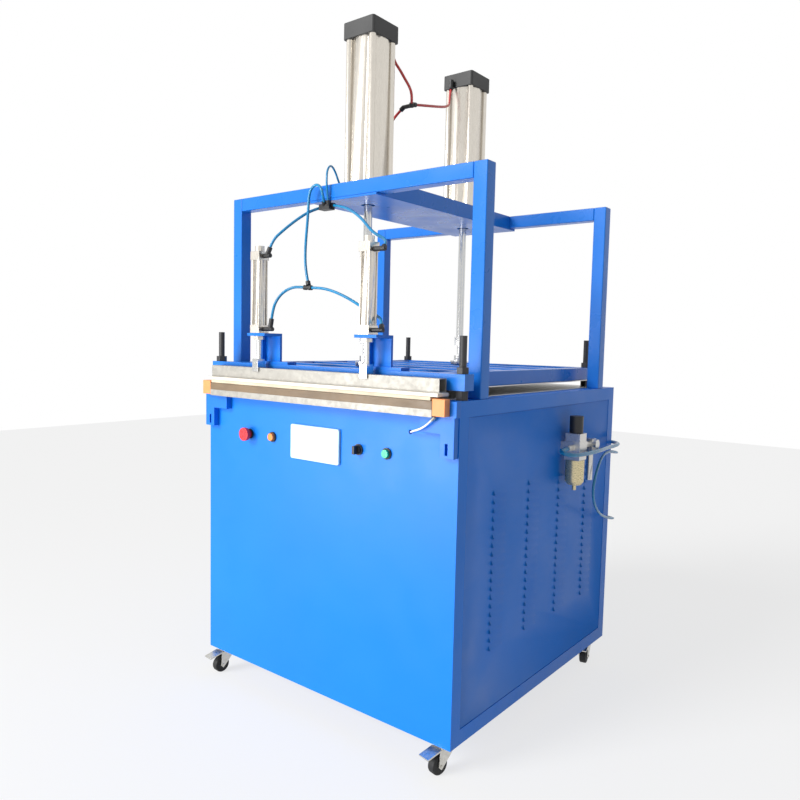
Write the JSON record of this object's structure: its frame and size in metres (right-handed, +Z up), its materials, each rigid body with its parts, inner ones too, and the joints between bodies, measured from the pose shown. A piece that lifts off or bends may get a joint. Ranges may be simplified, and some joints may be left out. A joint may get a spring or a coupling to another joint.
{
  "type": "vacuum compression packaging machine",
  "caption": "Pneumatic press on a caster cabinet: a platen under a gantry squeezes a filled bag and a heated jaw along the front edge seals it.",
  "frame": {"origin": "on the floor under the middle of the outline, hoses and cable left out", "axes": "+X to the right of a person facing the control panel, +Y to the back, +Z up"},
  "size_m": [1.0446, 1.0152, 1.987],
  "materials": {
    "cabinet_paint": "satin navy-blue powder coat",
    "frame_paint": "gloss blue powder coat",
    "bracket_paint": "gloss bright blue paint",
    "stainless_sheet": "brushed",
    "zinc_plate": "zinc plated",
    "black_steel": "black oxide",
    "barrel_metal": "anodised",
    "cap_metal": "dark grey cast aluminium",
    "rod_chrome": "polished hard chrome",
    "beam_metal": "mill finish",
    "lip_paint": "off-white",
    "pad_cover": "coated glass cloth",
    "strip_cover": "brown coated glass cloth",
    "orange_plastic": "laminated phenolic",
    "display_plastic": "moulded",
    "black_plastic": "moulded",
    "red_plastic": "moulded",
    "amber_plastic": "moulded",
    "green_plastic": "moulded",
    "air_unit_metal": "die cast",
    "bowl_guard": "pale gold lacquer",
    "blue_hose": "polyurethane tube",
    "red_hose": "polyurethane tube",
    "white_cable": "sleeved",
    "tyre": "moulded rubber"
  },
  "bodies": {
    "machine": {"cabinet_body": "cabinet_paint", "side_panels": "cabinet_paint", "rear_panel": "cabinet_paint", "table_plate": "stainless_sheet", "gantry_posts": "frame_paint", "gantry_top_bars": "frame_paint", "cylinder_platform": "frame_paint", "press_cylinder_barrels": "barrel_metal", "press_cylinder_caps": "cap_metal", "lower_jaw_bar": "beam_metal", "heating_strip": "strip_cover", "jaw_end_blocks": "orange_plastic", "jaw_brackets": "bracket_paint", "control_display": "display_plastic", "button_collars": "black_plastic", "air_unit_body": "air_unit_metal", "air_unit_bowl": "bowl_guard", "air_unit_valve": "air_unit_metal", "pipe_fittings": "black_plastic", "caster_plates": "zinc_plate", "hose_upper_left": "blue_hose", "hose_upper_right": "blue_hose", "hose_tee_drop": "blue_hose", "hose_feed": "blue_hose", "hose_air_supply": "blue_hose", "hose_air_return": "blue_hose", "hose_press_front": "red_hose", "hose_press_rear": "red_hose", "hose_press_feed": "red_hose", "heater_cable": "white_cable"},
    "platen": {"press_rods": "rod_chrome", "platen_sheet": "stainless_sheet", "platen_end_bars": "frame_paint", "platen_side_bars": "frame_paint", "platen_cross_bars": "frame_paint", "stop_bolts": "black_steel", "jaw_cylinder_brackets": "bracket_paint", "jaw_cylinder_caps": "barrel_metal", "jaw_cylinder_barrels": "barrel_metal", "jaw_fittings": "black_plastic", "hose_lower_left": "blue_hose", "hose_lower_right": "blue_hose"},
    "upper_jaw": {"jaw_rods": "rod_chrome", "upper_jaw_beam": "beam_metal", "upper_jaw_lip": "lip_paint", "upper_jaw_pad": "pad_cover"},
    "stop_button": {"stop_button": "red_plastic"},
    "orange_button": {"orange_button": "amber_plastic"},
    "selector_knob": {"selector_knob": "black_plastic"},
    "green_button": {"green_button": "green_plastic"},
    "regulator_knob": {"regulator_knob": "black_plastic"},
    "swivel_front_left": {"caster_fork_front_left": "zinc_plate"},
    "wheel_front_left": {"caster_wheel_front_left": "tyre"},
    "swivel_front_right": {"caster_fork_front_right": "zinc_plate"},
    "wheel_front_right": {"caster_wheel_front_right": "tyre"},
    "swivel_rear_left": {"caster_fork_rear_left": "zinc_plate"},
    "wheel_rear_left": {"caster_wheel_rear_left": "tyre"},
    "swivel_rear_right": {"caster_fork_rear_right": "zinc_plate"},
    "wheel_rear_right": {"caster_wheel_rear_right": "tyre"}
  },
  "joints": [
    {"name": "platen_lift", "type": "slide", "parent": "machine", "child": "platen", "axis": [0, 0, 1], "range_m": [0, 0.35], "deforming": ["hose_upper_left", "hose_upper_right", "hose_tee_drop"]},
    {"name": "jaw_lift", "type": "slide", "parent": "platen", "child": "upper_jaw", "axis": [0, 0, 1], "range_m": [0, 0.05]},
    {"name": "stop_press", "type": "slide", "parent": "machine", "child": "stop_button", "axis": [0, 1, 0], "range_m": [0, 0.004], "stiffness_N_per_m": 1500},
    {"name": "orange_press", "type": "slide", "parent": "machine", "child": "orange_button", "axis": [0, 1, 0], "range_m": [0, 0.004], "stiffness_N_per_m": 800},
    {"name": "green_press", "type": "slide", "parent": "machine", "child": "green_button", "axis": [0, 1, 0], "range_m": [0, 0.004], "stiffness_N_per_m": 800},
    {"name": "selector_turn", "type": "hinge", "parent": "machine", "child": "selector_knob", "pos_m": [0.12725, -0.4655, 0.797], "axis": [0, 1, 0], "range_deg": [0, 90]},
    {"name": "regulator_turn", "type": "hinge", "parent": "machine", "child": "regulator_knob", "pos_m": [0.48225, 0.1045, 0.85], "axis": [0, 0, 1], "range_deg": [-720, 720]},
    {"name": "swivel_front_left", "type": "hinge", "parent": "machine", "child": "swivel_front_left", "pos_m": [-0.46575, -0.4205, 0.072], "axis": [0, 0, 1], "continuous": true},
    {"name": "wheel_spin_front_left", "type": "hinge", "parent": "swivel_front_left", "child": "wheel_front_left", "pos_m": [-0.46836, -0.45039, 0.025], "axis": [0.9962, -0.0872, 0], "continuous": true},
    {"name": "swivel_front_right", "type": "hinge", "parent": "machine", "child": "swivel_front_right", "pos_m": [0.40425, -0.4205, 0.072], "axis": [0, 0, 1], "continuous": true},
    {"name": "wheel_spin_front_right", "type": "hinge", "parent": "swivel_front_right", "child": "wheel_front_right", "pos_m": [0.39801, -0.44984, 0.025], "axis": [0.9781, -0.2079, 0], "continuous": true},
    {"name": "swivel_rear_left", "type": "hinge", "parent": "machine", "child": "swivel_rear_left", "pos_m": [-0.46575, 0.4295, 0.072], "axis": [0, 0, 1], "continuous": true},
    {"name": "wheel_spin_rear_left", "type": "hinge", "parent": "swivel_rear_left", "child": "wheel_rear_left", "pos_m": [-0.46261, 0.39966, 0.025], "axis": [0.9945, 0.1045, 0], "continuous": true},
    {"name": "swivel_rear_right", "type": "hinge", "parent": "machine", "child": "swivel_rear_right", "pos_m": [0.40425, 0.4295, 0.072], "axis": [0, 0, 1], "continuous": true},
    {"name": "wheel_spin_rear_right", "type": "hinge", "parent": "swivel_rear_right", "child": "wheel_rear_right", "pos_m": [0.41049, 0.40016, 0.025], "axis": [0.9781, 0.2079, 0], "continuous": true}
  ]
}
